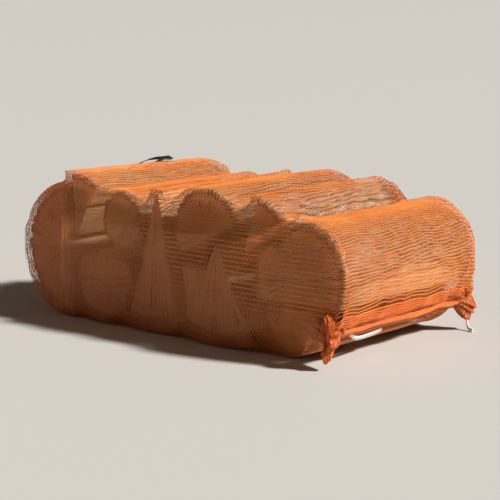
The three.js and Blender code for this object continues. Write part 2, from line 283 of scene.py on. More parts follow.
def set_stage():
    """A pale floor out to the horizon, a key light high beyond the sewn end, and a weak light in front."""
    mesh = bpy.data.meshes.new("floor")
    corners = [(x * FLOOR_HALF, y * FLOOR_HALF, 0) for x, y in ((-1, -1), (1, -1), (1, 1), (-1, 1))]
    mesh.from_pydata(corners, [], [(0, 1, 2, 3)])
    floor = bpy.data.objects.new("floor", mesh)
    bpy.context.scene.collection.objects.link(floor)
    mesh.materials.append(principled("floor_paint", (0.52, 0.515, 0.51), 0.8)[0])
    add_light("front_light", (-1.3, -2.4, 1.5), 2.2, 6.0, (1.0, 0.5, 0.27))
    add_key((2.2, 0.9, 2.0), 5.9, 6, (1.0, 0.97, 0.9))
    world = bpy.data.worlds.new("studio")
    world.use_nodes = True
    background = world.node_tree.nodes["Background"]
    background.inputs["Color"].default_value = (1.0, 0.82, 0.66, 1)
    background.inputs["Strength"].default_value = 0.08
    bpy.context.scene.world = world
    bpy.context.scene.view_settings.view_transform = "Standard"


# ---------------------------------------------------------------- shader nodes

def node(tree, kind, inputs=None, **settings):
    """A new node with these settings. inputs gives its sockets by name or number: a value, or an output."""
    made = tree.nodes.new(kind)
    for key, value in settings.items():
        setattr(made, key, value)
    for key, value in (inputs or {}).items():
        if isinstance(value, bpy.types.NodeSocket):
            tree.links.new(value, made.inputs[key])
        else:
            made.inputs[key].default_value = value
    return made


def worked(tree, operation, *values):
    """The output of a Math node on these values."""
    return node(tree, "ShaderNodeMath", dict(enumerate(values)), operation=operation).outputs[0]


def mixed(tree, share, low, high):
    """The colour between low and high at that share."""
    return node(tree, "ShaderNodeMix", {0: share, 6: low, 7: high}, data_type="RGBA").outputs[2]


def spread(tree, value, low, high):
    """value mapped so that low gives 0 and high gives 1, cut off outside them."""
    return node(tree, "ShaderNodeMapRange", {0: value, 1: low, 2: high}).outputs[0]


def noise(tree, vector, scale, detail=3.0, stretch=(1, 1, 1)):
    """Noise from 0 to 1 on the vector, squeezed by stretch along each axis."""
    squeezed = node(tree, "ShaderNodeVectorMath", {0: vector, 1: stretch}, operation="MULTIPLY").outputs[0]
    return node(tree, "ShaderNodeTexNoise", {"Vector": squeezed, "Scale": scale, "Detail": detail}).outputs[0]


def colour(red, green, blue):
    """The colour with full cover, as a socket takes it."""
    return (red, green, blue, 1.0)


def group(name, inputs, outputs):
    """An empty node group with these sockets, and its input and output nodes."""
    tree = bpy.data.node_groups.new(name, "ShaderNodeTree")
    for key, (kind, value) in inputs.items():
        socket = tree.interface.new_socket(key, in_out="INPUT", socket_type="NodeSocket" + kind)
        if value is not None:
            socket.default_value = value
    for key, kind in outputs.items():
        tree.interface.new_socket(key, in_out="OUTPUT", socket_type="NodeSocket" + kind)
    return tree, tree.nodes.new("NodeGroupInput").outputs, tree.nodes.new("NodeGroupOutput").inputs


def wood_grain_group():
    """Growth rings at even steps of the distance from the pith, wavered by noise, and fibre streaks along
    Y."""
    tree, given, made = group(
        "wood_grain",
        {"From Pith": ("Vector", None), "Ring Width": ("Float", 0.003),
         "Pale": ("Color", colour(0.7, 0.45, 0.22)), "Dark": ("Color", colour(0.4, 0.2, 0.08))},
        {"Colour": "Color", "Height": "Float"})
    flat = node(tree, "ShaderNodeVectorMath", {0: given["From Pith"], 1: (1, 0, 1)}, operation="MULTIPLY")
    reach = node(tree, "ShaderNodeVectorMath", {0: flat.outputs[0]}, operation="LENGTH").outputs["Value"]
    waver = worked(tree, "MULTIPLY", noise(tree, given["From Pith"], 22, 2, (1, 0.3, 1)), 3.0)
    steps = worked(tree, "DIVIDE", reach, given["Ring Width"])
    rings = worked(tree, "FRACT", worked(tree, "ADD", steps, waver))
    late = worked(tree, "POWER", rings, 4.0)
    streaks = noise(tree, given["From Pith"], 420, 3, (1, 0.035, 1))
    patches = noise(tree, given["From Pith"], 18, 3, (1, 0.25, 1))
    share = worked(tree, "ADD", worked(tree, "MULTIPLY", late, 0.5),
                   worked(tree, "MULTIPLY", spread(tree, streaks, 0.35, 0.75), 0.55))
    share = worked(tree, "MULTIPLY", share, worked(tree, "ADD", patches, 0.35))
    tree.links.new(mixed(tree, share, given["Pale"], given["Dark"]), made["Colour"])
    tree.links.new(worked(tree, "SUBTRACT", streaks, worked(tree, "MULTIPLY", late, 0.3)), made["Height"])
    return tree


def checks_group():
    """Drying cracks that run out from the pith: thin bands where noise over the angle round it is near a
    half, broken up along their length. The wood finish paints them near-black, as painted shade inside the
    cracks."""
    tree, given, made = group("drying_checks", {"From Pith": ("Vector", None)}, {"Mask": "Float"})
    parts = node(tree, "ShaderNodeSeparateXYZ", {0: given["From Pith"]}).outputs
    angle = worked(tree, "ARCTAN2", parts["Z"], parts["X"])
    ray = node(tree, "ShaderNodeCombineXYZ", {"X": angle}).outputs[0]
    line = worked(tree, "ABSOLUTE", worked(tree, "SUBTRACT", noise(tree, ray, 5.5, 4), 0.5))
    thin = worked(tree, "SUBTRACT", 1.0, spread(tree, line, 0.0, 0.012))
    broken = spread(tree, noise(tree, given["From Pith"], 30, 2, (1, 0, 1)), 0.45, 0.55)
    tree.links.new(worked(tree, "MULTIPLY", thin, broken), made["Mask"])
    return tree


def bark_group():
    """Bark plates stretched along the log, darker in the cracks between them, with pale and mossy patches."""
    tree, given, made = group(
        "bark_plates",
        {"From Pith": ("Vector", None), "Plate": ("Color", colour(0.3, 0.2, 0.13)),
         "Crack": ("Color", colour(0.10, 0.055, 0.028))},
        {"Colour": "Color", "Height": "Float"})
    plates = node(tree, "ShaderNodeTexVoronoi", {
        "Vector": node(tree, "ShaderNodeVectorMath", {0: given["From Pith"], 1: (1, 0.35, 1)},
                       operation="MULTIPLY").outputs[0], "Scale": 90}, feature="DISTANCE_TO_EDGE")
    ridge = spread(tree, plates.outputs["Distance"], 0.0, 0.16)
    rough = noise(tree, given["From Pith"], 160, 5, (1, 0.3, 1))
    patches = spread(tree, noise(tree, given["From Pith"], 24, 3), 0.45, 0.7)
    plate = mixed(tree, patches, given["Plate"], colour(0.52, 0.38, 0.24))
    plate = mixed(tree, rough, given["Crack"], plate)
    shown = worked(tree, "ADD", worked(tree, "MULTIPLY", ridge, 0.4), 0.6)
    tree.links.new(mixed(tree, shown, given["Crack"], plate), made["Colour"])
    tree.links.new(worked(tree, "ADD", ridge, worked(tree, "MULTIPLY", rough, 0.6)), made["Height"])
    return tree


def yarn_group():
    """Fine lengthwise lines and a slow change of tone, for drawn plastic tape and for thread."""
    tree, given, made = group(
        "yarn", {"Vector": ("Vector", None), "Base": ("Color", colour(0.8, 0.3, 0.05)),
                 "Worn": ("Color", colour(0.9, 0.5, 0.2)), "Line Scale": ("Float", 900.0)},
        {"Colour": "Color", "Height": "Float", "Roughness": "Float"})
    fine = node(tree, "ShaderNodeTexNoise",
                {"Vector": given["Vector"], "Scale": given["Line Scale"], "Detail": 2.0}).outputs[0]
    slow = spread(tree, noise(tree, given["Vector"], 14, 3), 0.35, 0.7)
    share = worked(tree, "MULTIPLY", slow, worked(tree, "ADD", worked(tree, "MULTIPLY", fine, 0.8), 0.2))
    tree.links.new(mixed(tree, share, given["Base"], given["Worn"]), made["Colour"])
    tree.links.new(fine, made["Height"])
    tree.links.new(worked(tree, "ADD", worked(tree, "MULTIPLY", fine, 0.3), 0.22), made["Roughness"])
    return tree


def principled(name, base, roughness, **values):
    """A material with one Principled shader, and its own sockets set."""
    material = bpy.data.materials.new(name)
    material.use_nodes = True
    tree = material.node_tree
    shader = tree.nodes["Principled BSDF"]
    shader.inputs["Base Color"].default_value = colour(*base)
    shader.inputs["Roughness"].default_value = roughness
    for key, value in values.items():
        shader.inputs[key.replace("_", " ")].default_value = value
    return material, tree, shader


def bumped(tree, shader, height, distance, strength=1.0):
    """Height feeds a Bump node, which feeds the shader's normal."""
    bump = node(tree, "ShaderNodeBump", {"Height": height, "Distance": distance, "Strength": strength})
    tree.links.new(bump.outputs[0], shader.inputs["Normal"])


def placed(tree, made_group, **inputs):
    """A group node with these inputs, whose names have spaces for underscores, and its outputs."""
    sockets = {key.replace("_", " "): value for key, value in inputs.items()}
    return node(tree, "ShaderNodeGroup", sockets, node_tree=made_group).outputs


# ---------------------------------------------------------------- finishes

WOODS = {
    "birch": dict(pale=(0.80, 0.56, 0.31), dark=(0.50, 0.28, 0.12), plate=(0.60, 0.47, 0.33), ring=2.6),
    "beech": dict(pale=(0.74, 0.46, 0.24), dark=(0.42, 0.21, 0.09), plate=(0.42, 0.30, 0.19), ring=3.2),
    "alder": dict(pale=(0.70, 0.38, 0.17), dark=(0.36, 0.15, 0.06), plate=(0.25, 0.17, 0.11), ring=3.8),
}


def wood_finish(kind, grain, checks, bark):
    """Bare split wood, the sawn ends with their drying cracks, painted near-black as painted shade inside
    them, and bark outside them, by the piece's masks."""
    tones = WOODS[kind]
    material, tree, shader = principled(kind + "_wood", tones["pale"], 0.7)
    from_pith = node(tree, "ShaderNodeAttribute", attribute_name="from_pith").outputs["Vector"]
    bark_share = node(tree, "ShaderNodeAttribute", attribute_name="bark").outputs["Fac"]
    end_share = node(tree, "ShaderNodeAttribute", attribute_name="sawn").outputs["Fac"]
    wood = placed(tree, grain, From_Pith=from_pith, Ring_Width=tones["ring"] * MM,
                  Pale=colour(*tones["pale"]), Dark=colour(*tones["dark"]))
    cracks = placed(tree, checks, From_Pith=from_pith)
    crust = placed(tree, bark, From_Pith=from_pith, Plate=colour(*tones["plate"]))
    crack_and_painted_shade = worked(tree, "MULTIPLY", cracks["Mask"], end_share)
    sawn = mixed(tree, worked(tree, "MULTIPLY", end_share, 0.35), wood["Colour"], colour(*tones["dark"]))
    # The drying cracks are painted near-black: painted shade inside them, as well as sunk by the bump.
    bare = mixed(tree, crack_and_painted_shade, sawn, colour(0.05, 0.025, 0.012))
    tree.links.new(mixed(tree, bark_share, bare, crust["Colour"]), shader.inputs["Base Color"])
    bare_height = worked(tree, "SUBTRACT", worked(tree, "MULTIPLY", wood["Height"], 0.4), crack_and_painted_shade)
    height = node(tree, "ShaderNodeMix", {0: bark_share, 2: bare_height, 3: crust["Height"]}).outputs[0]
    bumped(tree, shader, height, 1.2 * MM)
    tree.links.new(worked(tree, "ADD", 0.62, worked(tree, "MULTIPLY", bark_share, 0.25)),
                   shader.inputs["Roughness"])
    return material


def yarn_finish(name, yarn, base, worn, line_scale, depth, **values):
    """Drawn plastic or thread: the yarn group's colour, gloss and fine relief on one shader."""
    material, tree, shader = principled(name, base, 0.4, **values)
    place = node(tree, "ShaderNodeTexCoord").outputs["Object"]
    made = placed(tree, yarn, Vector=place, Base=colour(*base), Worn=colour(*worn), Line_Scale=line_scale)
    tree.links.new(made["Colour"], shader.inputs["Base Color"])
    tree.links.new(made["Roughness"], shader.inputs["Roughness"])
    bumped(tree, shader, made["Height"], depth)
    return material


# ---------------------------------------------------------------- cords

def lay_tape_loop(material):
    """The drawstring's loose loop: a flat band carried along its route, turned partly onto its edge where the
    loop comes round."""
    path = curve_through(TAPE_LOOP_ROUTE, 160)
    across, out = lying_frame(path)
    share = np.linspace(0, 1, len(path))[:, None]
    tilt = LOOP_TILT * np.exp(-((share - LOOP_CROWN) / LOOP_CROWN_WIDTH) ** 2)
    turned = across * np.cos(tilt) + out * np.sin(tilt)
    up = out * np.cos(tilt) - across * np.sin(tilt)
    half, rise = TAPE_WIDTH / 2, TAPE_THICKNESS / 2
    section = np.array([[half, 0], [half * 0.85, rise], [half * 0.3, rise * 0.7], [0, rise],
                        [-half * 0.3, rise * 0.7], [-half * 0.85, rise], [-half, 0], [-half * 0.85, -rise],
                        [0, -rise * 0.8], [half * 0.85, -rise]])
    points, faces = tubes(path[None], turned[None], up[None], section, closed=False)
    piece = add_piece("tape_loop", points, faces, material)
    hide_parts("drawstring_loop")
    tuple(path[0])


def lay_thread_tail(name, node_name, route, material):
    """A tail of chain stitches: plies wound round the route in a flat ellipse, each a thin tube whose centre
    stands at an even angle to the others and turns once in the twist's length."""
    path = curve_through(route, 121)
    across, out = lying_frame(path)
    reach = np.concatenate([[0], np.cumsum(np.linalg.norm(np.diff(path, axis=0), axis=1))])
    start = np.arange(TAIL_PLIES)[:, None] * 2 * math.pi / TAIL_PLIES
    angle = (start + reach / TAIL_TWIST * 2 * math.pi)[..., None]
    centres = path + TAIL_THICKNESS * (0.6 * across * np.cos(angle) + 0.2 * out * np.sin(angle))
    one = np.ones((TAIL_PLIES, 1, 1))
    section = round_section(TAIL_THICKNESS * 0.27, 6)
    points, faces = tubes(centres, across * one, out * one, section, closed=False)
    piece = add_piece(name, points, faces, material)
    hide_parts(node_name)
    tuple(path[0])


# ---------------------------------------------------------------- the logs

LOG_STATIONS = 5
LOG_AROUND = 200
LOG_ALONG = 96
CAP_RINGS = 20
BARK_FROM = 0.955  # the share of the trunk's radius from which it is bark, and how soft that border is
BARK_BORDER = 0.012
CUT_BARK = 4.5 * MM  # the thickness of bark that shows round a sawn end
FISSURE_DEPTH = 2.6 * MM
BARK_LUMPS = 2.2 * MM
FIBRE_DEPTH = 1.5 * MM
TEAR_DEPTH = 1.9 * MM
WOOD_LUMPS = 1.2 * MM
SAW_DEPTH = 0.9 * MM
CUT_LUMPS = 0.8 * MM
CUT_ROUNDING = 1.1 * MM
RIM_DROP = 1.6 * MM
RIM_REACH = 1.4 * MM
GRAIN_SHIFT = 0.37  # how far along Y each log's grain starts past the one before


def node_points(name):
    """The vertices of a node of the frame."""
    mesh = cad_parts[name].data
    points = np.zeros(len(mesh.vertices) * 3, np.float32)
    mesh.vertices.foreach_get("co", points)
    return points.reshape(-1, 3).astype(float)


def node_triangles(name):
    """The corners of a node's triangles, which the frame gives one after another."""
    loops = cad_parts[name].data.loops
    corners = np.zeros(len(loops), np.int32)
    loops.foreach_get("vertex_index", corners)
    return node_points(name)[corners.reshape(-1, 3)]


def log_outlines(name, angles):
    """For each station along the log: its centre, its reach from there at each angle, and its plane's height
    along Y as a + b X + c Z. The reach is the smallest of d / (n . u) over the outline's edges, with n an
    edge's normal, d its distance and u the way the angle points."""
    points = np.unique(np.round(node_points(name), 6), axis=0)
    low, high = points[:, 1].min(), points[:, 1].max()
    station = np.rint((points[:, 1] - low) / (high - low) * (LOG_STATIONS - 1)).astype(int)
    ways = np.stack([np.cos(angles), np.sin(angles)])
    centres, reaches, planes = [], [], []
    for i in range(LOG_STATIONS):
        ring = points[station == i]
        flat = ring[:, [0, 2]]
        centre = (flat.min(0) + flat.max(0)) / 2
        flat = flat[np.argsort(np.arctan2(*(flat - centre).T[::-1]))] - centre
        edge = np.roll(flat, -1, axis=0) - flat
        normal = unit(np.stack([edge[:, 1], -edge[:, 0]], axis=-1))
        facing = normal @ ways
        distance = np.sum(normal * flat, axis=-1)[:, None]
        reaches.append(np.where(facing > 1e-6, distance / np.maximum(facing, 1e-6), np.inf).min(0))
        centres.append(centre)
        columns = np.column_stack([np.ones(len(ring)), ring[:, 0], ring[:, 2]])
        planes.append(np.linalg.lstsq(columns, ring[:, 1], rcond=None)[0])
    return np.array(centres), np.array(reaches), np.array(planes)


def even_angles(name):
    """Angles whose points on the log's outline lie evenly along it."""
    fine = np.linspace(0, 2 * math.pi, 2881)
    reach = log_outlines(name, fine)[1].mean(0)
    outline = np.stack([reach * np.cos(fine), reach * np.sin(fine)], axis=-1)
    length = np.concatenate([[0], np.cumsum(np.linalg.norm(np.diff(outline, axis=0), axis=1))])
    return np.interp(np.arange(LOG_AROUND) / LOG_AROUND * length[-1], length, fine)


def add_log(name, material, seed):
    """A log as rows of points round its axis. The rows start at the middle of the front saw cut, go out to
    its rim, back along the sides and in again. A point lies at the outline's reach times its row's share,
    less its relief: fissures in bark, long torn fibres on the split faces, saw marks across the ends."""
    pith_x, pith_z, radius, taper, _ = LOGS[name]
    angles = even_angles(name)
    centres, reaches, planes = log_outlines(name, angles)
    inward = np.linspace(0, 1, CAP_RINGS + 1)
    share = np.concatenate([inward, np.ones(LOG_ALONG - 1), inward[::-1]])
    along = np.concatenate([np.zeros(CAP_RINGS + 1), np.linspace(0, 1, LOG_ALONG + 1)[1:-1],
                            np.ones(CAP_RINGS + 1)])
    stations = np.linspace(0, 1, LOG_STATIONS)

    def at(values):
        """The stations' values, blended evenly along the log for each row."""
        columns = values.reshape(LOG_STATIONS, -1)
        return np.stack([np.interp(along, stations, column) for column in columns.T], axis=-1)

    centre, reach, plane = at(centres), at(reaches), at(planes)
    way = np.stack([np.cos(angles), np.sin(angles)])

    def place(reach):
        """The points at that reach from the axis, each at the height along Y of its row's plane."""
        x = centre[:, 0, None] + reach * way[0]
        z = centre[:, 1, None] + reach * way[1]
        y = plane[:, 0, None] + plane[:, 1, None] * x + plane[:, 2, None] * z
        return np.stack([x, y, z], axis=-1)

    surface = place(reach * share[:, None])
    pith = np.array([pith_x, 0, pith_z]) * MM
    from_pith = surface - pith
    rho = np.hypot(from_pith[..., 0], from_pith[..., 2])
    trunk = radius * MM * (1 - taper * along[:, None])
    on_side = ((along > 0) & (along < 1))[:, None] * 1.0
    inner = BARK_FROM - on_side * BARK_BORDER - CUT_BARK / trunk * (1 - on_side)
    bark = smooth_step(rho / trunk, inner, inner + BARK_BORDER)
    moved = from_pith + seed
    fissures = np.abs(2 * soft_noise(moved, np.array([9, 38, 9]) * MM, 1) - 1)
    lumps = soft_noise(moved, np.array([26, 60, 26]) * MM, 2)
    fibres = soft_noise(moved, np.array([3.5, 90, 3.5]) * MM, 3)
    tears = smooth_step(soft_noise(moved, np.array([16, 130, 16]) * MM, 4), 0.42, 0.5)
    saw = soft_noise(moved, np.array([60, 30, 2.6]) * MM, 5)
    bark_depth = FISSURE_DEPTH * (1 - smooth_step(fissures, 0.02, 0.4)) + BARK_LUMPS * lumps
    split_depth = FIBRE_DEPTH * fibres + TEAR_DEPTH * tears + WOOD_LUMPS * lumps
    depth = bark * bark_depth + (1 - bark) * split_depth
    rim = np.minimum(along, 1 - along) * 0.25
    depth = depth + RIM_DROP * np.exp(-((rim[:, None] / RIM_REACH) ** 2)) * on_side
    depth = depth + (1 - on_side) * WOOD_LUMPS
    surface = place(np.maximum(reach - depth, 0.5 * reach) * share[:, None])
    cut = np.where(along == 0, 1.0, -1.0)[:, None] * (1 - on_side)
    edge = smooth_step(share, 0.97, 1.0)[:, None]
    surface[..., 1] += cut * (SAW_DEPTH * saw + CUT_LUMPS * lumps + CUT_ROUNDING * edge)

    rows = len(share)
    poles = np.stack([surface[0].mean(0), surface[-1].mean(0)])
    points = np.concatenate([surface[1:-1].reshape(-1, 3), poles])
    body = grid_faces(rows - 2, LOG_AROUND, close_columns=True)[:, ::-1]
    spot = np.arange(LOG_AROUND)
    after = (spot + 1) % LOG_AROUND
    last = (rows - 3) * LOG_AROUND
    front_pole = np.full(LOG_AROUND, len(points) - 2)
    back_pole = front_pole + 1
    fans = np.concatenate([np.stack([spot, after, front_pole], axis=-1),
                           np.stack([last + after, last + spot, back_pole], axis=-1)])

    def flat(values):
        """The values in the order of the points: all the rows between the poles, then the two poles."""
        between = values[1:-1].reshape(-1, *values.shape[2:])
        return np.concatenate([between, values[[0, -1], 0]])

    sawn = (1 - on_side) * np.ones_like(rho)
    shifted = from_pith + [0, seed * GRAIN_SHIFT, 0]
    attributes = {"bark": flat(bark), "sawn": flat(sawn), "from_pith": flat(shifted)}
    piece = add_piece(name + "_wood", points, [body, fans], material, attributes)
    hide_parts(name)


# ---------------------------------------------------------------- the net's surface

# The net's grid: its points round the bag, and its rows over each stretch from the seam to the ruffle's edge
COLUMNS = 320
SEAM_STEPS = 36
BODY_STEPS = 180
MOUTH_STEPS = 40
NECK_STEPS = 24
PASSES = 160
EAR_FOLD_REACH = 42 * MM

# How many millimetres the slack moves the net: wrinkles, folds at the ears and crumples over the seam lift
# it, and pleats and slow waves shift the gathered mouth to and fro along X
WRINKLE_LIFT = 4.0
EAR_FOLD_LIFT = 4.5
CRUMPLE_LIFT = 4.0
PLEAT_SHIFT = 3.4
BILLOW_SHIFT = 9
GATHER_ROWS = 14  # the rows of the body over which the gathers begin


def loop_points(x, shape):
    """COLUMNS points evenly along a rectangle with round corners in the plane of x, counted from the middle
    of its +Y side upwards. shape is its half width, half height, middle height and corner radius."""
    width, height, middle, corner = shape
    quarter = np.linspace(0, math.pi / 2, 12)
    turns = [(1, 1, 0), (-1, 1, 1), (-1, -1, 2), (1, -1, 3)]
    arcs = [np.stack([sy * (width - corner) + corner * np.cos(quarter + k * math.pi / 2),
                      sz * (height - corner) + corner * np.sin(quarter + k * math.pi / 2)], axis=-1)
            for sy, sz, k in turns]
    outline = np.concatenate([[[width, 0]], *arcs, [[width, 0]]])
    length = np.concatenate([[0], np.cumsum(np.linalg.norm(np.diff(outline, axis=0), axis=1))])
    even = np.arange(COLUMNS) / COLUMNS * length[-1]
    y = np.interp(even, length, outline[:, 0])
    z = np.interp(even, length, outline[:, 1])
    return np.stack([np.full(COLUMNS, x), y, middle + z], axis=-1)


def starting_loops():
    """The loops of the net before it is pulled in, from the seam line out over the sewn end, along the bag,
    and in over the mouth end to the neck."""
    seam = [(SEAM_FACE_X, SEAM_LOOP + (FULL_LOOP - SEAM_LOOP) * share)
            for share in (np.arange(SEAM_STEPS) / SEAM_STEPS) ** 1.2]
    body = [(x, FULL_LOOP) for x in np.linspace(SEAM_FACE_X, MOUTH_FACE_X, BODY_STEPS + 1)]
    mouth = [(MOUTH_FACE_X, FULL_LOOP + (NECK_LOOP - FULL_LOOP) * share)
             for share in np.arange(1, MOUTH_STEPS + 1) / MOUTH_STEPS]
    return np.array([loop_points(x, shape) for x, shape in seam + body + mouth])


def depths_to_logs(starts, inward, longest):
    """How far along each ray the first log lies, with a gap round it. A log is the space inside the planes of
    its faces: a ray enters it at the largest distance to a plane that it meets from outside, if that is less
    than the smallest distance to a plane that it leaves through."""
    depth = longest.copy()
    for name in LOGS:
        triangles = node_triangles(name)
        normals = np.cross(triangles[:, 1] - triangles[:, 0], triangles[:, 2] - triangles[:, 0])
        normals = unit(np.unique(np.round(unit(normals) * 40), axis=0))
        offsets = (normals @ triangles.reshape(-1, 3).T).max(1) + NET_GAP
        towards = inward @ normals.T
        distance = (offsets - starts @ normals.T) / np.where(np.abs(towards) < 1e-9, 1e-9, towards)
        enter = np.where(towards < 0, distance, -np.inf).max(-1)
        leave = np.where(towards > 0, distance, np.inf).min(-1)
        hit = (enter < leave) & (leave > 0)
        depth = np.where(hit, np.minimum(depth, np.maximum(enter, 0)), depth)
    return depth


def finer(values):
    """A grid with a new row and a new column halfway between all neighbours; its columns close."""
    between_columns = (values + np.roll(values, -1, axis=1)) / 2
    wide = np.stack([values, between_columns], axis=2).reshape(len(values), -1)
    tall = np.zeros((2 * len(wide) - 1, wide.shape[1]))
    tall[::2] = wide
    tall[1::2] = (wide[1:] + wide[:-1]) / 2
    return tall


def pulled_surface(starts):
    """The net on the logs. Each point lies on its own ray from the starting loops to the core. In each pass
    it moves to where its four neighbours pull it, their places weighted by the tension, and a little further
    in, but no further in than the logs near it and no further out than the loops. Coarse grids are solved
    first, and start the finer ones."""
    way = np.clip(starts, CORE_LOW, CORE_HIGH) - starts
    longest = np.linalg.norm(way, axis=-1)
    inward = unit(way)
    found = depths_to_logs(starts, inward, longest)
    padded = np.pad(found, ((1, 1), (0, 0)), mode="edge")
    nearest = np.min([np.roll(padded[1 + i:len(padded) - 1 + i], j, axis=1)
                      for i in (-1, 0, 1) for j in (-1, 0, 1)], axis=0)
    deepest = np.maximum(nearest, NET_WALL)
    x, y, z = np.moveaxis(starts, -1, 0)
    rests = (z < REST_HEIGHT) & (x > REST_X[0]) & (x < REST_X[1]) & (np.abs(y) < REST_SIDE_Y)
    deepest[rests] = NET_WALL
    shallowest = np.full_like(deepest, NET_WALL)
    shallowest[0] = deepest[0] = SEAM_FACE_X - SEAM_X + NET_WALL
    deepest[-1] = NET_WALL
    depth = None
    for stride in (8, 4, 2, 1):
        s, n = starts[::stride, ::stride], inward[::stride, ::stride]
        low, high = shallowest[::stride, ::stride], deepest[::stride, ::stride]
        depth = np.clip(low if depth is None else finer(depth), low, high)
        for _ in range(PASSES):
            net = s + n * depth[..., None]
            around = (np.roll(net, 1, axis=1) + np.roll(net, -1, axis=1))[1:-1] / 2
            lengthwise = (net[2:] + net[:-2]) / 2
            pulled = AROUND_PULL * around + (1 - AROUND_PULL) * lengthwise - s[1:-1]
            wanted = np.sum(pulled * n[1:-1], axis=-1) + SINK * stride**2
            depth[1:-1] = np.clip(wanted, low[1:-1], high[1:-1])
    return starts + inward * depth[..., None]


def wrinkled(net):
    """The taut net with its slack: shallow folds that run out from each ear, as waves over the direction from
    it, long low wrinkles along Y, and a crumpled band above the seam. All only lift the net off the logs, by
    millimetres."""
    normals = outward_normals(net)
    long = soft_noise(net, np.array([12, 75, 8]) * MM, 11)
    lift = np.clip(long - 0.45, 0, 1) * WRINKLE_LIFT * smooth_step(net[..., 0], 0, 200 * MM)
    lift = lift * smooth_step(net[..., 2], 4 * MM, 25 * MM)
    for side in (-1, 1):
        offset = net - np.array([HEM_TIP_X, side * EAR_SIDE_Y, SEAM_Z])
        reach = np.linalg.norm(offset, axis=-1)
        way = unit(offset)
        wave = 0.5 + 0.5 * np.sin(13 * way[..., 2] + 8 * way[..., 0] + side)
        lift = lift + EAR_FOLD_LIFT * wave * np.exp(-((reach / EAR_FOLD_REACH) ** 2))
    crumple = soft_noise(net, np.array([9, 13, 8]) * MM, 16)
    crumple = crumple + 0.5 * soft_noise(net, np.array([5, 30, 4]) * MM, 17)
    band = np.exp(-(((net[..., 2] - SEAM_Z - 8 * MM) / (15 * MM)) ** 2))
    band = band * smooth_step(net[..., 0], 225 * MM, 243 * MM)
    lift = lift + CRUMPLE_LIFT * band * crumple
    held = smooth_step(np.arange(len(net)), 0, 5)[:, None]
    return net + normals * (lift * held * MM)[..., None]


def gathered_surface(net):
    """The net with its drawn end: folds that deepen over the mouth end towards the neck, the neck, and the
    ruffle past it, where a point stands at its profile's radius times one plus the folds' wave."""
    angle = np.arange(COLUMNS) / COLUMNS * 2 * math.pi
    slow = 0.55 * np.sin(3 * angle + 0.7) + 0.45 * np.sin(7 * angle + 2.0)
    wave = np.sin(PLEATS * angle + 1.3 * slow)
    gathered = np.arange(len(net)) - SEAM_STEPS - BODY_STEPS + GATHER_ROWS
    share = np.clip(gathered / (MOUTH_STEPS + GATHER_ROWS), 0, 1)[:, None]
    net = net.copy()
    net[..., 0] += (share**2 * PLEAT_SHIFT * wave + share * (1 - share) * BILLOW_SHIFT * slow) * MM
    steps = np.linspace(0, 1, NECK_STEPS + 1)[1:]
    stops = np.linspace(0, 1, len(NECK_PROFILE))
    x = np.interp(steps, stops, NECK_PROFILE[:, 0])[:, None]
    radius = np.interp(steps, stops, NECK_PROFILE[:, 1])[:, None]
    flare = smooth_step(steps, 0.5, 1.0)[:, None]
    tight = 1 - smooth_step(steps, 0.0, 0.3)[:, None]
    folded = radius * (1 + (0.10 + 0.08 * flare + 0.05 * tight) * wave + 0.13 * flare * slow)
    rows = np.stack([x + flare * 2.5 * MM * np.cos(5 * angle + 1) * slow,
                     folded * np.cos(angle), NECK_Z + folded * np.sin(angle)], axis=-1)
    return np.concatenate([net, rows])


def outward_normals(surface):
    """Cross product of the surface's steps along its rows and its columns."""
    around = np.roll(surface, -1, axis=1) - np.roll(surface, 1, axis=1)
    lengthwise = np.gradient(surface, axis=0)
    return unit(np.cross(lengthwise, around))


def on_grid(grid, row, column):
    """The grid's value at fractional rows and columns, blended from its four nearest points."""
    row = np.clip(row, 0, len(grid) - 1.001)
    r, c = np.floor(row).astype(int), np.floor(column).astype(int)
    u, v = (row - r)[..., None], (column - c)[..., None]
    c, beside = c % grid.shape[1], (c + 1) % grid.shape[1]
    return ((1 - u) * ((1 - v) * grid[r, c] + v * grid[r, beside])
            + u * ((1 - v) * grid[r + 1, c] + v * grid[r + 1, beside]))


# ---------------------------------------------------------------- the net's yarns

# The pillars' spacing, and how the cloth's distance grows
PITCH = 3.6 * MM
FIRST_PILLAR = 1.5 * MM
SKEW_REACH = 560 * MM
SKEW_SHARE = 0.9
MOUTH_REACH = 105 * MM
NECK_REACH = 42 * MM

# The second layer beside the seam
DOUBLED_REACH = 20 * MM

# Each yarn's width and how far it rises
PILLAR_WIDTH = 1.35 * MM
PILLAR_RISE = 0.5 * MM
INLAY_WIDTH = 1.2 * MM
INLAY_RISE = 0.3 * MM
FLAT_YARN = np.array([[-0.5, 0.0], [0.5, 0.0], [0.0, 1.0]])
YARN_TRIANGLES = 190000  # the most that one piece of yarns holds


def cloth_distance(starts):
    """How far each point of the net lies from the seam along the cloth. On the bag it is its distance behind
    the sewn face plus its height above or below the seam, and that height counts evenly less along the bag.
    From the mouth's edge it grows evenly to the neck and to the ruffle's edge."""
    behind = SEAM_FACE_X - starts[..., 0]
    rounding = 0.25 * behind
    height = np.hypot(starts[..., 2] - SEAM_Z, rounding) - rounding
    distance = behind + height * SKEW_SHARE * (1 - behind / SKEW_REACH)
    edge = SEAM_STEPS + BODY_STEPS
    rows = np.arange(edge + MOUTH_STEPS + NECK_STEPS + 1)[:, None]
    past = (np.clip(rows - edge, 0, MOUTH_STEPS) / MOUTH_STEPS * MOUTH_REACH
            + np.clip(rows - edge - MOUTH_STEPS, 0, NECK_STEPS) / NECK_STEPS * NECK_REACH)
    beyond = np.repeat(distance[edge:edge + 1], len(rows) - edge - 1, axis=0)
    whole = np.concatenate([distance[:edge + 1], beyond])
    return np.maximum.accumulate(whole + past + rows * 1e-7, axis=0)


def rows_at(distance, levels):
    """The fractional row at which each column of the net reaches each of its levels of cloth distance."""
    rows = np.arange(len(distance))
    return np.stack([np.interp(level, column, rows) for level, column in zip(levels.T, distance.T)], axis=-1)


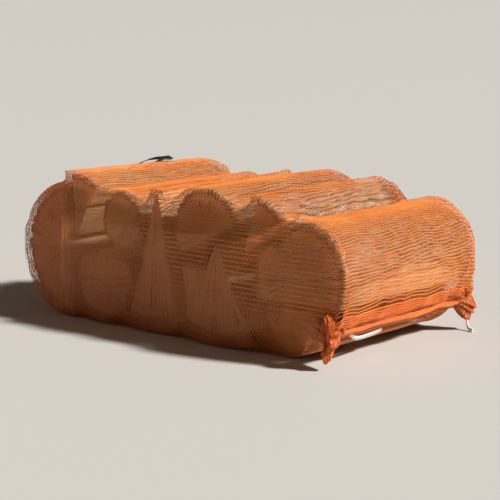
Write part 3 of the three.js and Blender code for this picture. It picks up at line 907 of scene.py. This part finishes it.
def yarn_lines(surface, distance, levels):
    """Where the pillars run: lines of even cloth distance, swayed by slow noise, so that neighbours sway
    together, and most of all near the sewn end."""
    even, column = np.meshgrid(levels, np.arange(COLUMNS, dtype=float), indexing="ij")
    place = on_grid(surface, rows_at(distance, even), column)
    slack = 1 + 0.7 * smooth_step(place[..., 0], 60 * MM, 220 * MM)
    sway = (soft_noise(place, 45 * MM, 6) - 0.5) * 4.5 + (soft_noise(place, 15 * MM, 8) - 0.5) * 2.2 * slack
    held = smooth_step(even, 3 * MM, 25 * MM) * smooth_step(distance.max() - even, 40 * MM, 140 * MM)
    row = rows_at(distance, even + sway * held * MM)
    return np.clip(row, 0.1, len(surface) - 1.1), column


def flat_yarns(name, centres, normals, width, rise, material):
    """Closed low ridges along the rows of centres, each with a section of three sides and so six triangles
    at a centre, shared out evenly over as few pieces as hold them."""
    along = unit(np.roll(centres, -1, axis=1) - np.roll(centres, 1, axis=1))
    across = np.cross(normals, along) * width
    pieces = math.ceil(centres.shape[0] * centres.shape[1] * 6 / YARN_TRIANGLES)
    for number, part in enumerate(np.array_split(np.arange(len(centres)), pieces)):
        points, faces = tubes(centres[part], across[part], (normals * rise)[part], FLAT_YARN, closed=True)
        yield add_piece(f"{name}_{number + 1}", points, faces, material)


def knit(name, surface, normals, distance, levels, material):
    """Pillars of chain stitches round the bag, each a low ridge that swells at every second sample, and
    between each two of them an inlay that goes to and fro from one to the other."""
    row, column = yarn_lines(surface, distance, levels)
    centre = on_grid(surface, row, column)
    normal = unit(on_grid(normals, row, column))
    spacing = np.linalg.norm(np.diff(centre, axis=0), axis=-1)
    room = np.minimum(np.vstack([spacing[:1], spacing]), np.vstack([spacing, spacing[-1:]]))
    beat = np.where(np.arange(COLUMNS) % 2 == 0, 1.0, 0.7)
    width = (np.minimum(PILLAR_WIDTH, 0.6 * room) * beat)[..., None]
    rise = (np.minimum(PILLAR_RISE, 0.3 * room) * beat)[..., None]
    made = list(flat_yarns(name + "_pillars", centre + normal * 0.2 * MM, normal, width, rise, material))
    side = np.arange(COLUMNS) % 2
    first = np.arange(len(centre) - 1)[:, None]
    zigzag = centre[first + side, np.arange(COLUMNS)]
    facing = normal[first + side, np.arange(COLUMNS)]
    width = np.minimum(INLAY_WIDTH, 0.4 * spacing)[..., None]
    rise = np.minimum(INLAY_RISE, 0.2 * spacing)[..., None]
    made += flat_yarns(name + "_inlays", zigzag, facing, width, rise, material)
    return made


def add_net(material, hem_material):
    """The whole net: one layer everywhere, and a second one that is turned in beside the seam."""
    starts = starting_loops()
    surface = gathered_surface(wrinkled(pulled_surface(starts)))
    normals = outward_normals(surface)
    distance = cloth_distance(starts)
    levels = np.arange(FIRST_PILLAR, distance.max() - 1 * MM, PITCH)
    made = knit("net", surface, normals, distance, levels, material)
    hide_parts("net_bag")
    doubled = surface + normals * 0.9 * MM
    levels = np.arange(FIRST_PILLAR, DOUBLED_REACH, PITCH / 1.8)
    knit("seam_net", doubled, normals, distance, levels, hem_material)


# ---------------------------------------------------------------- the sewn end

# The chain of stitches: its pitch, place and length, and one loop's half length, half width and thread
STITCH_PITCH = 7 * MM
STITCH_X = 259.4 * MM
STITCH_HALF_LENGTH = 106 * MM
STITCH_REACH = 3.4 * MM
STITCH_WIDTH = 1.0 * MM
STITCH_SIDES = 16
THREAD_RADIUS = 0.3 * MM

# The hem: how much it puffs, its half length, its core's grid, and the yarns that lie on it
HEM_PUFF = 2.2 * MM
HEM_SIDE_Y = EAR_SIDE_Y - 14 * MM
HEM_STEPS = 300
HEM_AROUND = 24
HEM_YARNS = 20
HEM_YARN_STEPS = 420
HEM_YARN_WIDTH = 1.5 * MM
HEM_YARN_RISE = 0.55 * MM

# The ears: their rows, their length along the cloth, and how many millimetres they sway in Y and crumple
EAR_ROWS = 40
EAR_LENGTH = 46 * MM
EAR_SWAY = 1.6
EAR_CRUMPLE = 6

# Each ear's middle at even steps along it, as X, Y and Z, and its half thickness and half height there
EAR_PROFILE = np.array([
    [256, 112, 38, 4, 4], [259, 119, 38.5, 6, 8], [261.5, 126, 38, 7.5, 15], [263, 133, 37, 8, 20],
    [264, 139, 36, 7.5, 22], [264, 143, 35, 6, 21], [263.5, 143, 34.5, 4.5, 17], [263, 139, 35, 3, 12],
]) * MM


def along_y(y):
    """Points on the Y axis at these places."""
    return np.stack([0 * y, y, 0 * y], axis=-1)


def hem_height(y):
    """How the hem's middle height wanders along Y."""
    return (soft_noise(along_y(y), 26 * MM, 3) - 0.5) * 4.0 * MM


def hem_surface(y, turn):
    """The hem's skin: a flat section carried along Y, drawn thin at each stitch and puffed between them. Its
    point at each turn round the section is the middle plus its half width times the cosine's power and its
    half thickness times the sine."""
    end = smooth_step(EAR_SIDE_Y - np.abs(y), 2 * MM, 24 * MM)
    tip = HEM_TIP_X + HEM_PUFF * (0.4 + 1.4 * soft_noise(along_y(y), 13 * MM, 9))
    base = SEAM_X - 1.5 * MM
    pucker = 0.5 + 0.5 * np.cos(2 * math.pi * y / STITCH_PITCH)
    crumple = soft_noise(along_y(y) + np.stack([turn, 0 * y, 0 * y], axis=-1) * 9 * MM, 7 * MM, 12) - 0.5
    half = HEM_PUFF * (1.5 + 0.5 * pucker + 1.1 * crumple) * (0.5 + 0.5 * end)
    cosine = np.cos(turn)
    x = (base + tip) / 2 + (tip - base) / 2 * np.sign(cosine) * np.abs(cosine) ** 0.7
    z = SEAM_Z + hem_height(y) + half * np.sin(turn)
    return np.stack([x, y, z], axis=-1)


def add_hem(material):
    """The net's two edges folded together along the seam: a closed core, and on it the folded net's yarns
    side by side along Y, each swaying slowly round the section."""
    y, turn = np.meshgrid(np.linspace(-HEM_SIDE_Y, HEM_SIDE_Y, HEM_STEPS),
                          np.arange(HEM_AROUND) * 2 * math.pi / HEM_AROUND, indexing="ij")
    points = hem_surface(y, turn)
    add_piece("hem_core", points, closed_skin(*points.shape[:2]), material)
    y, start = np.meshgrid(np.linspace(-HEM_SIDE_Y, HEM_SIDE_Y, HEM_YARN_STEPS),
                           np.arange(HEM_YARNS) * 2 * math.pi / HEM_YARNS)
    sway = soft_noise(along_y(y) + start[..., None] * 0.5, 22 * MM, 4) - 0.5
    turn = start + 1.1 * sway
    centres = hem_surface(y, turn)
    along = unit(np.gradient(centres, axis=1))
    across = unit(hem_surface(y, turn + 0.01) - centres)
    outward = unit(np.cross(along, across))
    section = FLAT_YARN * [HEM_YARN_WIDTH, HEM_YARN_RISE]
    points, face_sets = tubes(centres, across, outward, section, closed=False)
    add_piece("hem_yarns", points, face_sets, material)


def ear_surface(side):
    """The corner of the net that is left over beyond an end of the seam: a bunch that opens out from where
    the hem ends, flattened, hanging a little, and pleated by waves round it that grow along it. Its last
    rows curl back inside."""
    share = np.linspace(0, 1, EAR_ROWS)
    stops = np.linspace(0, 1, len(EAR_PROFILE))
    x, y, z, thick, tall = (np.interp(share, stops, column)[:, None] for column in EAR_PROFILE.T)
    angle = np.arange(COLUMNS)[None] / COLUMNS * 2 * math.pi
    slow = np.sin(3 * angle + 2 * side) + 0.6 * np.sin(5 * angle + 4 * share[:, None])
    pleat = np.sin(9 * angle + 1.7 * slow + 1.5 * share[:, None])
    grown = smooth_step(share, 0.0, 0.45)[:, None]
    radius = 1 + grown * (0.20 * pleat + 0.10 * slow)
    points = np.stack([x + side * thick * radius * np.cos(angle),
                       side * y + grown * EAR_SWAY * MM * np.sin(4 * angle + 3 * side),
                       z + tall * radius * np.sin(angle)], axis=-1)
    crumple = soft_noise(points, 11 * MM, 15 + side) - 0.5
    return points + outward_normals(points) * (crumple * grown * EAR_CRUMPLE * MM)[..., None]


def add_ears(material):
    """The two ears: yarns round each bunch, and the folded layers under them as a closed skin."""
    for side, name in ((-1, "front"), (1, "back")):
        surface = ear_surface(side)
        normals = outward_normals(surface)
        distance = np.repeat(np.linspace(0, EAR_LENGTH, EAR_ROWS)[:, None], COLUMNS, axis=1)
        levels = np.arange(1 * MM, EAR_LENGTH - 1 * MM, PITCH * 0.9)
        knit(name + "_ear", surface, normals, distance, levels, material)
        skin = (surface - normals * 0.5 * MM)[:, ::4]
        add_piece(name + "_ear_layers", skin, closed_skin(*skin.shape[:2]), material)


def add_stitches(material):
    """A chain of thread loops along the hem's upper face. Each is a flat drop, its width the sine of the turn
    and its length the cosine, and the next one starts inside its end."""
    count = int(2 * STITCH_HALF_LENGTH / STITCH_PITCH)
    turn, start = np.meshgrid(np.arange(STITCH_SIDES) * 2 * math.pi / STITCH_SIDES,
                              (np.arange(count) - (count - 1) / 2) * STITCH_PITCH)
    y = start + STITCH_REACH * np.cos(turn)
    x = STITCH_X + STITCH_WIDTH * np.sin(turn) * (1 - 0.45 * np.cos(turn))
    z = SEAM_Z + hem_height(y) + 2.1 * HEM_PUFF + 0.4 * MM * np.cos(turn)
    centres = np.stack([x, y, z], axis=-1)
    along = unit(np.roll(centres, -1, axis=1) - np.roll(centres, 1, axis=1))
    up = np.broadcast_to([0.0, 0.0, 1.0], along.shape)
    across = unit(np.cross(up, along))
    points, faces = tubes(centres, across, up, round_section(THREAD_RADIUS, 6), closed=True)
    piece = add_piece("seam_stitches", points, faces, material)
    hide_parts("seam_thread")


# ---------------------------------------------------------------- the drawn end's tie

TIE_TURNS = 2.5
KNOT_SIZE = 1.75 * MM
KNOT_RISE = 5.6 * MM


def add_tie(material):
    """The tape's turns round the neck, a flat band carried round it two and a half times, and its knot: a
    closed three-lobed knot with Y as sin t + 2 sin 2t, Z as cos t - 2 cos 2t and X as sin 3t."""
    angle = np.linspace(0, TIE_TURNS * 2 * math.pi, 180) + math.pi / 2
    share = np.linspace(-1, 1, 180)
    radius = NECK_RADIUS + 1.4 * MM + 0.3 * MM * np.sin(3 * angle)
    out = np.stack([np.zeros_like(angle), np.cos(angle), np.sin(angle)], axis=-1)
    path = np.stack([NECK_X + share * 1.7 * MM, radius * out[:, 1], NECK_Z + radius * out[:, 2]], axis=-1)
    along = unit(np.gradient(path, axis=0))
    across = np.cross(out, along)
    section = np.array([[1, 0], [0.8, 0.5], [0, 0.42], [-0.8, 0.5], [-1, 0], [-0.8, -0.5], [0.8, -0.5]])
    band = section * [1.7 * MM, 1.1 * MM]
    points, faces = tubes(path[None], across[None], out[None], band, closed=False)
    piece = add_piece("tie_turns", points, faces, material)
    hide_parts("drawstring_knot")
    t = np.arange(96) / 96 * 2 * math.pi
    lobes = 0.72 * KNOT_SIZE * (np.cos(t) - 2 * np.cos(2 * t))
    knot = np.stack([1.1 * KNOT_SIZE * np.sin(3 * t) + NECK_X,
                     KNOT_SIZE * (np.sin(t) + 2 * np.sin(2 * t)),
                     NECK_Z + NECK_RADIUS + KNOT_RISE + lobes], axis=-1)
    along = unit(np.roll(knot, -1, axis=0) - np.roll(knot, 1, axis=0))
    out = unit(knot - [NECK_X, 0, NECK_Z + NECK_RADIUS + 5 * MM] + 1e-6)
    out = unit(out - along * np.sum(out * along, axis=-1, keepdims=True))
    across = np.cross(out, along)
    flat_band = section * [1.9 * MM, 1.3 * MM]
    points, faces = tubes(knot[None], across[None], out[None], flat_band, closed=True)
    add_piece("tie_knot", points, faces, material)


# ---------------------------------------------------------------- making it all

set_camera()
yarn = yarn_group()
net_finish = yarn_finish("net_yarn", yarn, (0.78, 0.195, 0.030), (0.90, 0.35, 0.085), 700, 0.25 * MM,
                         Coat_Weight=0.5, Coat_Roughness=0.22)
hem_finish = yarn_finish("hem_yarn", yarn, (0.80, 0.145, 0.016), (0.90, 0.26, 0.045), 700, 0.25 * MM,
                         Coat_Weight=0.5, Coat_Roughness=0.22)
tape_finish = yarn_finish("black_tape", yarn, (0.012, 0.012, 0.013), (0.03, 0.03, 0.032), 500, 0.12 * MM,
                          Coat_Weight=0.5, Coat_Roughness=0.15)
thread_finish = yarn_finish("white_thread", yarn, (0.80, 0.76, 0.68), (0.92, 0.90, 0.85), 1500, 0.2 * MM)
lay_tape_loop(tape_finish)
lay_thread_tail("front_tail", "thread_tail_front", FRONT_TAIL_ROUTE, thread_finish)
lay_thread_tail("back_tail", "thread_tail_back", BACK_TAIL_ROUTE, thread_finish)
set_stage()

grain, checks, bark = wood_grain_group(), checks_group(), bark_group()
woods = {kind: wood_finish(kind, grain, checks, bark) for kind in WOODS}
for number, (log_name, log) in enumerate(LOGS.items()):
    add_log(log_name, woods[log[-1]], number + 1)

add_net(net_finish, hem_finish)
add_hem(hem_finish)
add_ears(hem_finish)
add_stitches(thread_finish)
add_tie(tape_finish)
